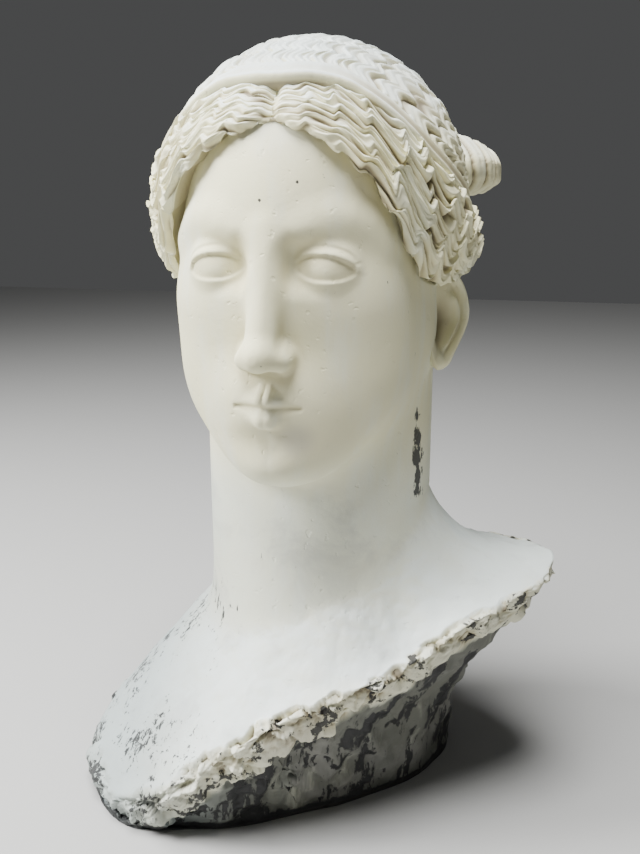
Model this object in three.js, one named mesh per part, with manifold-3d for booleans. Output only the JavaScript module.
// Head sculpture: an oversize head on a long neck, cast in one with a broken chest and a rough foot.
// Millimetres, +Z up. The face looks along -Y, and the flat underside lies at z = 0.
import * as THREE from 'three';
import { mergeVertices } from 'three/addons/utils/BufferGeometryUtils.js';
import Module from 'manifold-3d';

const wasm = await Module();
wasm.setup();

const rad = THREE.MathUtils.degToRad;
const mix = THREE.MathUtils.lerp;
const clamp = THREE.MathUtils.clamp;
const smoothstep = THREE.MathUtils.smoothstep;

// Driving sizes, mm and degrees.
const HEAD_HEIGHT = 557; // chin to the crown of the hair
const CHIN_HEIGHT = 533; // floor to the chin
const NECK_WIDTH = 322;
const NECK_DEPTH = 304;
const CHEST_WIDTH = 704; // across the broken chest
const SHOULDER_HEIGHT = 372; // floor to the highest corner of the broken edge
const BREAK_THICKNESS = 44; // rough band along the broken edge
const LEDGE_DEPTH = 16; // how far the foot is set back under the broken edge
const CHIP_DEPTH = 9;
const EDGE_ROUND = 4; // the broken edge is rounded over at its top
const FOOT_LIP = 6; // least height of the foot where the chest comes down to the floor
const FOOT_HOLLOW = 1.7; // above 1 the foot is hollow towards the broken edge
const HEAD_BOW = 2; // how far the head leans forward, degrees

// Outlines round the neck axis. Compass angle 0 is the front (-Y), 90 its left (+X), 180 the back.
// The underside: [compass angle, reach as a share of the chest's width].
const FOOT = [
  [30, 0.165], [65, 0.173], [101, 0.249], [120, 0.310], [150, 0.335], [185, 0.330], [220, 0.341],
  [255, 0.415], [285, 0.509], [300, 0.490], [315, 0.452], [329, 0.341], [357, 0.206],
];
// The broken edge: [compass angle, reach as a share of the width, height as a share of the shoulder's].
const EDGE = [
  [8, 0.341, 0.608], [28, 0.330, 0.688], [48, 0.335, 0.763], [60, 0.372, 0.855], [73, 0.426, 0.930],
  [88, 0.480, 0.989], [102, 0.486, 1.0], [122, 0.429, 0.952], [152, 0.366, 0.887], [182, 0.344, 0.806],
  [215, 0.355, 0.634], [250, 0.426, 0.376], [280, 0.514, 0.134], [300, 0.500, 0.118],
  [316, 0.469, 0.140], [328, 0.440, 0.237], [341, 0.401, 0.392], [355, 0.355, 0.511],
];
// Where the chest runs into the neck: [compass angle, share of the chin's height, hollow of the slope].
const NECK_FOOT = [
  [0, 0.604, 1.2], [50, 0.735, 2.0], [90, 0.867, 3.4], [140, 0.856, 3.0], [185, 0.807, 2.0],
  [230, 0.657, 1.3], [270, 0.559, 0.9], [320, 0.525, 1.0],
];

// From here on every length is a share of the head's height. The middle of the head is the zero,
// z = 0 is the line of the eyes and -y is forward.
const NECK_BACK = 0.06; // the neck axis lies behind the middle of the head
const NECK_FLOW = 0.06; // softness of the fold between jaw and neck
const THROAT_DROP = 0.10; // below the chin
const NECK_TOP = 0.4; // above the chin, where the neck ends inside the head
const FACE_MIDDLE_DROP = 0.04; // below the line of the eyes: the rows of the face fan out from there

// The bare head: eggs [x, y, z] with radii, and chains of balls [x, y, z, radius], given for one side.
// soft is how wide a body melts into what is there already, and cut takes it away instead.
const BROW = {
  inner: 0.036,
  outer: 0.212,
  front: -0.327,
  turn: 0.098, // how far it swings back towards the temple
  base: 0.034,
  arch: 0.175,
  radius: 0.032,
};
const UPPER_LIP = [[0, -0.404, -0.288, 0.018], [0.018, -0.403, -0.284, 0.019], [0.078, -0.356, -0.304, 0.01]];
const LOWER_LIP = [[0, -0.394, -0.330, 0.024], [0.026, -0.390, -0.329, 0.024], [0.070, -0.352, -0.316, 0.01]];
const LIP_LINE = [[0, -0.434, -0.306, 0.004], [0.036, -0.420, -0.303, 0.004], [0.088, -0.388, -0.31, 0.003]];
const HEAD_FORMS = [
  // Skull, face, jaw and chin.
  { egg: [0, 0.035, 0.10], radii: [0.29, 0.385, 0.35], soft: 0.06 },
  { egg: [0, -0.118, -0.055], radii: [0.262, 0.272, 0.425], soft: 0.06 },
  { chain: [[0.165, -0.02, -0.20, 0.115], [0.058, -0.255, -0.385, 0.10]], soft: 0.12 },
  { egg: [0, -0.318, -0.435], radii: [0.072, 0.072, 0.063], soft: 0.08 },
  // Cheekbone, cheek and the swell that carries the mouth.
  { egg: [0.150, -0.20, -0.115], radii: [0.090, 0.105, 0.10], soft: 0.10 },
  { egg: [0.105, -0.19, -0.27], radii: [0.125, 0.125, 0.12], soft: 0.10 },
  { egg: [0, -0.285, -0.30], radii: [0.120, 0.105, 0.11], soft: 0.07 },
  // Brow, socket and eye.
  { chain: browArc(7), soft: 0.045 },
  { egg: [0.112, -0.425, -0.006], radii: [0.092, 0.080, 0.058], soft: 0.040, cut: true },
  { egg: [0.050, -0.395, -0.008], radii: [0.026, 0.042, 0.040], soft: 0.03, cut: true },
  { eye: true, soft: 0.012 },
  // A straight nose with its tip, wings and nostrils.
  { chain: [[0, -0.352, 0.055, 0.031], [0, -0.424, -0.175, 0.034]], soft: 0.035 },
  { egg: [0, -0.438, -0.190], radii: [0.036, 0.038, 0.032], soft: 0.025 },
  { egg: [0.036, -0.398, -0.198], radii: [0.030, 0.046, 0.027], soft: 0.022 },
  { egg: [0.020, -0.425, -0.232], radii: [0.011, 0.020, 0.010], soft: 0.012, cut: true },
  // The groove below the nose, the hollow above the chin, both lips and the line between them.
  { chain: [[0, -0.432, -0.232, 0.006], [0, -0.430, -0.254, 0.006]], soft: 0.022, cut: true },
  { egg: [0, -0.432, -0.388], radii: [0.085, 0.034, 0.028], soft: 0.05, cut: true },
  { chain: UPPER_LIP, soft: 0.016 },
  { chain: LOWER_LIP, soft: 0.014 },
  { chain: LIP_LINE, soft: 0.020, cut: true },
];
const EYE = {
  centre: [0.116, -0.304, -0.02],
  ball: 0.064,
  halfWidth: 0.066,
  upper: 0.033, // how far the lids stand open above and below the middle of the ball
  lower: 0.020,
  slant: 0.004,
  lid: 0.010,
};

// The hair: a round outer form, a band over it and a broad knot behind, a little to its left.
const HAIR_CENTRE = [0, 0.03, 0.10];
const HAIR_RADII = [0.385, 0.44, 0.38]; // before the band
const CROWN_RADII = [0.365, 0.44, 0.378]; // behind it
const KNOT = {
  centre: [0.09, 0.38, 0.175],
  radii: [0.33, 0.21, 0.088],
  square: 0.72, // below 1 it is squarer than an egg
  groove: 0.016,
  locks: 5,
};
// The lower edge of the hair and the front edge of the band: [compass angle, elevation] from the centre.
const HAIRLINE = [
  [0, 26], [10, 23], [20, 18], [32, 8], [42, -6], [50, -16], [60, -24], [76, -28], [92, -28],
  [112, -30], [130, -38], [155, -44], [180, -45],
];
const BAND_FRONT = [[0, 39], [24, 38], [40, 29], [56, 16], [70, 7], [90, -2], [120, -10], [180, -14]];
const BAND_WIDTH = 8; // degrees seen from the centre
// Across the band: [share of its width, lift]. A raised fillet in front and a shallow channel behind it.
const BAND_SECTION = [
  [-0.12, -0.12], [-0.10, -0.012], [0.10, 0.008], [0.30, 0.008],
  [0.45, 0.001], [1, 0.001], [1.12, -0.014], [1.12, -0.12],
];
const KNOT_ELEVATION = 10; // the hair behind the band runs to the knot at the back
const LOCKS = 5; // carved locks between the hairline and the band
const LOCK_DEPTH = 0.016;
const LOCK_WAVE = 0.42; // turns of the waves in the hair, radians for each degree round the head
const CALM_SIDE = 28; // beside the parting the waves are shallow, up to this compass angle
const CREST = 0.010;
const SIDE_PUFF = 0.034; // the hair stands out over the ears
const HAIR_THICKNESS = 0.16;
const CROWN_LOCKS = 26; // carved locks behind the band
const CROWN_LOCK_DEPTH = 0.012;

const EAR = {
  centre: [0.315, 0.020, -0.172],
  halfHeight: 0.126,
  halfWidth: 0.078,
  flare: 42, // degrees that the back rim stands away from the head
  lean: 20, // degrees that its top leans back
  thickness: 0.03,
};

// How finely the forms are faceted.
const COLUMNS = 50;
const FACE_CROWD = 0.72; // how much closer the columns stand at the face than at the back
const HAIR_COLUMNS = 62;
const BAND_COLUMNS = 38;
// Rows up the face, closest at mouth and eyes: [elevation, rows up to the next].
const FACE_STEPS = [
  [-54, 2], [-44, 3], [-36, 6], [-26, 3], [-20, 4], [-4, 9], [12, 4], [28, 2], [50, 1], [72, 0],
];

// A smooth closed curve through [angle, value, ...] stations, read at any compass angle.
function around(stations, column) {
  const n = stations.length;
  const at = (i) => stations[((i % n) + n) % n][column];
  const angle = (i) => stations[((i % n) + n) % n][0] + 360 * Math.floor(i / n);
  const slope = (i) => (at(i + 1) - at(i - 1)) / (angle(i + 1) - angle(i - 1));
  return (degrees) => {
    const a = ((degrees % 360) + 360) % 360;
    let i = n - 1;
    while (i >= 0 && angle(i) > a) i -= 1;
    const span = angle(i + 1) - angle(i);
    const t = (a - angle(i)) / span;
    const low = (1 + 2 * t) * (1 - t) ** 2 * at(i) + t * t * (3 - 2 * t) * at(i + 1);
    return low + span * (t * (1 - t) ** 2 * slope(i) - t * t * (1 - t) * slope(i + 1));
  };
}

// The same for a half given from front (0) to back (180): both sides are alike.
function bothSides(stations) {
  const mirrored = stations.slice(1, -1).reverse().map(([a, v]) => [360 - a, v]);
  return around([...stations, ...mirrored], 1);
}

function scaled(curve, size) {
  return (a) => curve(a) * size;
}

const footReach = scaled(around(FOOT, 1), CHEST_WIDTH);
const edgeReach = scaled(around(EDGE, 1), CHEST_WIDTH);
const edgeHeight = scaled(around(EDGE, 2), SHOULDER_HEIGHT);
const neckFoot = scaled(around(NECK_FOOT, 1), CHIN_HEIGHT);
const slopeHollow = around(NECK_FOOT, 2);
const hairline = bothSides(HAIRLINE);
const bandFront = bothSides(BAND_FRONT);

// Uneven ground for broken faces: a few waves that don't repeat together, between -1 and 1.
function roughness(a, b) {
  const broad = Math.sin(a * 3.1 + b * 1.7);
  const middling = Math.sin(a * 7.3 - b * 2.9 + 1.3);
  const small = Math.sin(a * 13.7 + b * 5.1 + 4);
  return (broad + middling + small) / 3;
}

// Distances to simple bodies, blended into one form; negative inside.
function blend(a, b, k) {
  const h = Math.max(k - Math.abs(a - b), 0) / k;
  return Math.min(a, b) - (h * h * k) / 4;
}

function egg([x, y, z], [cx, cy, cz], [rx, ry, rz]) {
  const reach = Math.hypot((x - cx) / rx, (y - cy) / ry, (z - cz) / rz);
  return (reach - 1) * Math.min(rx, ry, rz);
}

function link([x, y, z], [ax, ay, az, ra], [bx, by, bz, rb]) {
  const d = [bx - ax, by - ay, bz - az];
  const length2 = d[0] ** 2 + d[1] ** 2 + d[2] ** 2;
  const t = clamp(((x - ax) * d[0] + (y - ay) * d[1] + (z - az) * d[2]) / length2, 0, 1);
  return Math.hypot(x - ax - t * d[0], y - ay - t * d[1], z - az - t * d[2]) - mix(ra, rb, t);
}

function chain(p, stations) {
  return Math.min(...stations.slice(1).map((station, i) => link(p, stations[i], station)));
}

// The brow: a low arc over the socket, from beside the root of the nose to the temple.
function browArc(count) {
  return Array.from({ length: count }, (_, i) => {
    const share = i / (count - 1);
    return [
      mix(BROW.inner, BROW.outer, share),
      BROW.front + BROW.turn * share ** 2.6,
      BROW.base + BROW.arch * share * (1 - share) ** 0.85,
      BROW.radius,
    ];
  });
}

// An eye: a ball between two lids that meet at the corners.
function eye(p) {
  const ball = egg(p, EYE.centre, [EYE.ball, EYE.ball, EYE.ball]);
  const across = (p[0] - EYE.centre[0]) / EYE.halfWidth;
  const open = Math.sqrt(Math.max(1 - across * across, 0));
  const upper = EYE.centre[2] + EYE.upper * open - EYE.slant * across;
  const lower = EYE.centre[2] - EYE.lower * open - EYE.slant * across;
  const lids = ball - EYE.lid;
  return Math.min(ball, Math.max(lids, upper - p[2]), Math.max(lids + EYE.lid * 0.3, p[2] - lower));
}

// The head without its hair. Both sides are alike.
function headForm(x, y, z) {
  const p = [Math.abs(x), y, z];
  let d = Infinity;
  for (const body of HEAD_FORMS) {
    let here;
    if (body.eye) here = eye(p);
    else if (body.egg) here = egg(p, body.egg, body.radii);
    else here = chain(p, body.chain);
    if (d === Infinity) d = here;
    else d = body.cut ? -blend(-d, here, body.soft) : blend(d, here, body.soft);
  }
  return d;
}

// Head shares to the part's own place.
const headPlace = new THREE.Matrix4()
  .makeTranslation(0, -NECK_BACK * HEAD_HEIGHT, CHIN_HEIGHT + HEAD_HEIGHT / 2)
  .multiply(new THREE.Matrix4().makeRotationX(rad(HEAD_BOW)))
  .multiply(new THREE.Matrix4().makeScale(HEAD_HEIGHT, HEAD_HEIGHT, HEAD_HEIGHT));
const toHead = headPlace.clone().invert();
const onHead = (x, y, z) => new THREE.Vector3(x, y, z).applyMatrix4(headPlace);

// Head and neck together.
const local = new THREE.Vector3();
function form(x, y, z) {
  local.set(x, y, z).applyMatrix4(toHead);
  const head = headForm(local.x, local.y, local.z) * HEAD_HEIGHT;
  const across = Math.hypot(x / NECK_WIDTH, y / NECK_DEPTH) * 2;
  const neck = Math.max((across - 1) * NECK_DEPTH / 2, z - CHIN_HEIGHT - HEAD_HEIGHT * NECK_TOP);
  return blend(head, neck, HEAD_HEIGHT * NECK_FLOW);
}

// The outermost point of the form along a ray, found by walking in from outside, a little less than
// the distance to the form at every step.
function surfacePoint(origin, direction) {
  const start = HEAD_HEIGHT * 0.75;
  const steps = 60;
  const caution = 0.9;
  const point = origin.clone().addScaledVector(direction, start);
  for (let i = 0; i < steps; i += 1) {
    point.addScaledVector(direction, -caution * Math.max(form(point.x, point.y, point.z), 0));
  }
  return point;
}

// A direction from compass angle and elevation, degrees.
function compass(angle, elevation) {
  const flat = Math.cos(rad(elevation));
  return new THREE.Vector3(
    Math.sin(rad(angle)) * flat, -Math.cos(rad(angle)) * flat, Math.sin(rad(elevation)));
}

// Angles round the axis that stand closer together in front than at the back.
function crowdedAngles(columns, crowd) {
  return Array.from({ length: columns }, (_, j) => {
    const turn = (2 * Math.PI * j) / columns;
    return THREE.MathUtils.radToDeg(turn - crowd * Math.sin(turn));
  });
}

// Rows of points become a closed body: round in every row, and closed by poles or from last to first.
// Every field of four points is split along its shorter diagonal.
function closedBody(rows, startPole, endPole) {
  const columns = rows[0].length;
  const points = rows.flat();
  const faces = [];
  const index = (i, j) => (i % rows.length) * columns + (j % columns);
  const spans = startPole ? rows.length - 1 : rows.length;
  for (let i = 0; i < spans; i += 1) {
    for (let j = 0; j < columns; j += 1) {
      const [a, b, c, d] = [index(i, j), index(i, j + 1), index(i + 1, j + 1), index(i + 1, j)];
      const split = points[a].distanceTo(points[c]) < points[b].distanceTo(points[d]);
      faces.push(...(split ? [[a, b, c], [a, c, d]] : [[a, b, d], [b, c, d]]));
    }
  }
  if (startPole) {
    points.push(startPole, endPole);
    for (let j = 0; j < columns; j += 1) {
      faces.push([points.length - 2, index(0, j + 1), index(0, j)]);
      faces.push([points.length - 1, index(rows.length - 1, j), index(rows.length - 1, j + 1)]);
    }
  }
  // A mirrored body would be inside out, so its faces are turned.
  const corner = new THREE.Vector3();
  const volume = faces.reduce(
    (sum, [a, b, c]) => sum + points[a].dot(corner.crossVectors(points[b], points[c])), 0);
  const outward = volume < 0 ? faces.map(([a, b, c]) => [a, c, b]) : faces;
  return new THREE.BufferGeometry().setFromPoints(points).setIndex(outward.flat());
}

// Rows between first and last move part of the way to the mean of their neighbours.
function soften(rows, first, last, times) {
  const columns = rows[0].length;
  for (let pass = 0; pass < times; pass += 1) {
    const before = rows.map((row) => row.map((point) => point.clone()));
    for (let i = first; i <= last; i += 1) {
      rows[i].forEach((point, j) => {
        const mean = before[i - 1][j].clone().add(before[i + 1][j])
          .add(before[i][(j + 1) % columns]).add(before[i][(j + columns - 1) % columns]).divideScalar(4);
        point.lerp(mean, 0.5);
      });
    }
  }
}

// The rough foot, hollowed under the broken edge, then the edge itself with its chips.
function footAndBreak(flat) {
  const rows = [];
  const under = (a) => edgeReach(a) - LEDGE_DEPTH;
  const top = (a) => Math.max(edgeHeight(a) - BREAK_THICKNESS, FOOT_LIP);
  for (const t of [0, 0.2, 0.5, 0.8, 1]) {
    const wave = (a) => 3 * CHIP_DEPTH * t * (1 - t) * roughness(rad(a) * 2, t * 5);
    rows.push(flat((a) => mix(footReach(a), under(a), t ** FOOT_HOLLOW) + wave(a), (a) => top(a) * t));
  }
  for (const t of [0.5, 1]) {
    const chip = (a) => CHIP_DEPTH * roughness(rad(a) * 3, t * 4);
    const reach = (a) => edgeReach(a) + chip(a) - EDGE_ROUND * t;
    const height = (a) => edgeHeight(a) - (1 - t) * BREAK_THICKNESS * 0.6 + chip(2 * a) / 2;
    rows.push(flat(reach, height));
  }
  return rows;
}

// The top of the chest, sloping up into the neck.
function chestTop(flat) {
  const across = (a) => Math.hypot(Math.sin(rad(a)) / NECK_WIDTH, Math.cos(rad(a)) / NECK_DEPTH);
  const neckReach = (a) => 1 / (2 * across(a));
  return [0.9, 0.72, 0.54, 0.38, 0.24, 0.12, 0.03].map((t) => {
    const u = t ** 1.5;
    return flat(
      (a) => mix(neckReach(a), edgeReach(a) - CHIP_DEPTH, u),
      (a) => mix(edgeHeight(a), neckFoot(a), (1 - u) ** slopeHollow(a)));
  });
}

// Chest, neck and bare head: one sleeve of rows from the underside to the crown.
function castBody() {
  const angles = crowdedAngles(COLUMNS, FACE_CROWD);
  const flat = (reach, z) => angles.map((a) => compass(a, 0).multiplyScalar(reach(a)).setZ(z(a)));
  const rows = [...footAndBreak(flat), ...chestTop(flat)];
  const chestEnd = rows.length;
  // The neck, and from under the jaw upwards rays that fan out from the middle of the head.
  const throat = CHIN_HEIGHT - HEAD_HEIGHT * THROAT_DROP;
  const fanFrom = (origin, elevation) => angles.map((a) => surfacePoint(origin(a), compass(a, elevation)));
  for (const t of [0.3, 0.65, 1]) {
    rows.push(fanFrom((a) => new THREE.Vector3(0, 0, mix(neckFoot(a), throat, t)), 0));
  }
  const middle = onHead(0, 0, 0).setZ(onHead(0, 0, 0).z - HEAD_HEIGHT * FACE_MIDDLE_DROP);
  const steepness = Math.tan(rad(FACE_STEPS[0][0]));
  for (const t of [0.25, 0.5, 0.75]) {
    const elevation = THREE.MathUtils.radToDeg(Math.atan(steepness * t));
    rows.push(fanFrom(() => new THREE.Vector3(0, 0, throat).lerp(middle, t), elevation));
  }
  FACE_STEPS.forEach(([elevation, count], i) => {
    for (let k = 0; k < count; k += 1) {
      rows.push(fanFrom(() => middle, mix(elevation, FACE_STEPS[i + 1][0], k / count)));
    }
  });
  rows.push(fanFrom(() => middle, FACE_STEPS.at(-1)[0]));
  soften(rows, chestEnd - 3, chestEnd + 2, 6);
  return closedBody(rows, new THREE.Vector3(), surfacePoint(middle, new THREE.Vector3(0, 0, 1)));
}

// A point of the hair's round outer form, raised by a lift.
function hairPoint(direction, lift, [rx, ry, rz]) {
  const reach = 1 / Math.hypot(direction.x / rx, direction.y / ry, direction.z / rz);
  return direction.clone().multiplyScalar(reach + lift)
    .add(new THREE.Vector3(...HAIR_CENTRE)).applyMatrix4(headPlace);
}

// The profile across locks: rounded backs with narrow grooves, 0 in the groove and 1 on the back.
function lockBack(phase) {
  return Math.abs(Math.sin(Math.PI * phase)) ** 0.7;
}

// Hair between the hairline and the band, in waved locks that run back from the parting.
function frontHair() {
  const rowsPerLock = 3;
  const angles = crowdedAngles(HAIR_COLUMNS, 0.35);
  const row = (t, lift) => angles.map((a) => {
    const side = Math.abs(a > 180 ? a - 360 : a);
    const wave = Math.sin(side * LOCK_WAVE) * clamp(side / CALM_SIDE, 0, 1);
    const bend = 0.7 / LOCKS * wave * Math.sin(Math.PI * clamp(t, 0, 1));
    const elevation = mix(hairline(a), bandFront(a) + 2, t + bend);
    const crest = CREST * Math.sin(side * LOCK_WAVE + 1.6) * clamp(side / CALM_SIDE, 0, 1);
    const parting = LOCK_DEPTH * 0.75 * Math.exp(-((side / 4) ** 2));
    return hairPoint(compass(a, elevation), lift(side) + crest - parting, HAIR_RADII);
  });
  const inner = () => -HAIR_THICKNESS;
  const rows = [row(-0.01, inner)];
  for (let i = 0; i <= LOCKS * rowsPerLock; i += 1) {
    const t = i / (LOCKS * rowsPerLock);
    const back = LOCK_DEPTH * (lockBack(i / rowsPerLock) - 0.9);
    const edge = -LOCK_DEPTH * ((1 - t) ** 12 + t ** 12);
    const puff = (side) => SIDE_PUFF * Math.sin(Math.PI * t) * smoothstep(side, 45, 115);
    rows.push(row(t, (side) => puff(side) + edge + back));
  }
  rows.push(row(1.01, inner));
  return closedBody(rows);
}

// The smooth band round the head.
function band() {
  const angles = crowdedAngles(BAND_COLUMNS, 0.3);
  return closedBody(BAND_SECTION.map(([t, lift]) => angles.map(
    (a) => hairPoint(compass(a, bandFront(a) + BAND_WIDTH * t), lift, CROWN_RADII))));
}

// Hair behind the band, in locks that run back to the knot.
function crownHair() {
  const columnsPerLock = 2;
  const angles = crowdedAngles(CROWN_LOCKS * columnsPerLock, 0.2);
  const knot = compass(180, KNOT_ELEVATION);
  const rows = [0, 0.08, 0.2, 0.34, 0.48, 0.62, 0.76, 0.9].map((t) => angles.map((angle, j) => {
    const a = angle + 1.2 * Math.sin(t * 26) * (1 - t);
    const start = compass(a, bandFront(a) + BAND_WIDTH * 0.7);
    const axis = start.clone().cross(knot).normalize();
    const direction = start.clone().applyAxisAngle(axis, start.angleTo(knot) * t);
    const swell = CROWN_LOCK_DEPTH * Math.sin(Math.PI * clamp(t * 1.6, 0, 1));
    const back = CROWN_LOCK_DEPTH * (lockBack(j / columnsPerLock) * (1 - t) - 1.3);
    return hairPoint(direction, swell + back, CROWN_RADII);
  }));
  return closedBody(rows, onHead(...HAIR_CENTRE), hairPoint(knot, 0, CROWN_RADII));
}

// The broad, squarish knot that the hair is gathered into at the back, with grooves across it.
function knotOfHair() {
  const squared = (value) => Math.sign(value) * Math.abs(value) ** KNOT.square;
  const columns = 12;
  const turns = Array.from({ length: columns }, (_, j) => (2 * Math.PI * j) / columns);
  const place = (v, u) => {
    const wide = squared(Math.sin(v));
    const unit = new THREE.Vector3(
      squared(Math.cos(v)), wide * squared(Math.cos(u)), wide * squared(Math.sin(u)));
    const lock = lockBack((unit.x + 0.4 * unit.y) * KNOT.locks / 2);
    const size = 1 + (KNOT.groove / KNOT.radii[2]) * (lock - 0.8) * Math.sin(v);
    const [rx, ry, rz] = KNOT.radii;
    const [cx, cy, cz] = KNOT.centre;
    return onHead(cx + unit.x * rx, cy + unit.y * ry * size, cz + unit.z * rz * size);
  };
  const spans = 18;
  const rows = Array.from({ length: spans - 1 }, (_, i) => {
    const v = (Math.PI * (i + 1)) / spans;
    return turns.map((u) => place(v, u));
  });
  return closedBody(rows, place(0, 0), place(Math.PI, 0));
}

// One ear: a flared shell with a bowl, a rolled rim and a lobe. side is 1 for its left, -1 for its right.
function ear(side) {
  const columns = 14;
  const turns = Array.from({ length: columns }, (_, j) => (2 * Math.PI * j) / columns);
  const tilt = new THREE.Matrix4().makeRotationX(rad(-EAR.lean))
    .multiply(new THREE.Matrix4().makeRotationZ(rad(-EAR.flare * side)));
  const [cx, cy, cz] = EAR.centre;
  const place = (share, lift) => turns.map((turn) => {
    const frontCut = Math.sin(turn) < 0 ? 0.72 : 1;
    const taper = mix(0.52, 1, smoothstep(Math.cos(turn), -1, 0.35));
    const backward = Math.sin(turn) * taper * frontCut * EAR.halfWidth * share;
    return new THREE.Vector3(side * lift, backward, Math.cos(turn) * EAR.halfHeight * share)
      .applyMatrix4(tilt).add(new THREE.Vector3(side * cx, cy, cz)).applyMatrix4(headPlace);
  });
  const bowl = place(0, -EAR.thickness * 0.6)[0];
  const back = place(0, -EAR.thickness * 1.4)[0];
  const rows = [
    place(0.30, -EAR.thickness * 0.5), place(0.55, EAR.thickness * 0.15), place(0.72, -EAR.thickness * 0.1),
    place(0.88, EAR.thickness * 0.6), place(1, EAR.thickness * 0.1), place(0.97, -EAR.thickness * 0.8),
    place(0.6, -EAR.thickness * 1.2),
  ];
  return closedBody(rows, bowl, back);
}

// A closed geometry as a solid, ready to be joined.
function solid(geometry) {
  const merged = mergeVertices(geometry, 1e-3);
  return new wasm.Manifold(new wasm.Mesh({
    numProp: 3,
    vertProperties: new Float32Array(merged.attributes.position.array),
    triVerts: new Uint32Array(merged.index.array),
  }));
}

function join(geometries) {
  const whole = geometries.map(solid).reduce((a, b) => a.add(b)).getMesh();
  const geometry = new THREE.BufferGeometry();
  geometry.setAttribute('position', new THREE.BufferAttribute(whole.vertProperties, 3));
  geometry.setIndex(new THREE.BufferAttribute(whole.triVerts, 1));
  return mergeVertices(geometry, 1e-3);
}

const plaster = new THREE.MeshStandardMaterial({ color: 0xe9e6dc, roughness: 0.72, metalness: 0 });

const headCast = new THREE.Mesh(
  join([castBody(), frontHair(), crownHair(), band(), knotOfHair(), ear(1), ear(-1)]), plaster);
headCast.name = 'head_cast';

// The zero lies on the underside, below the middle of the part's box.
headCast.geometry.computeBoundingBox();
const middle = headCast.geometry.boundingBox.getCenter(new THREE.Vector3());
headCast.position.set(-middle.x, -middle.y, 0);

const sculpture = new THREE.Group();
sculpture.add(headCast);
export default sculpture;
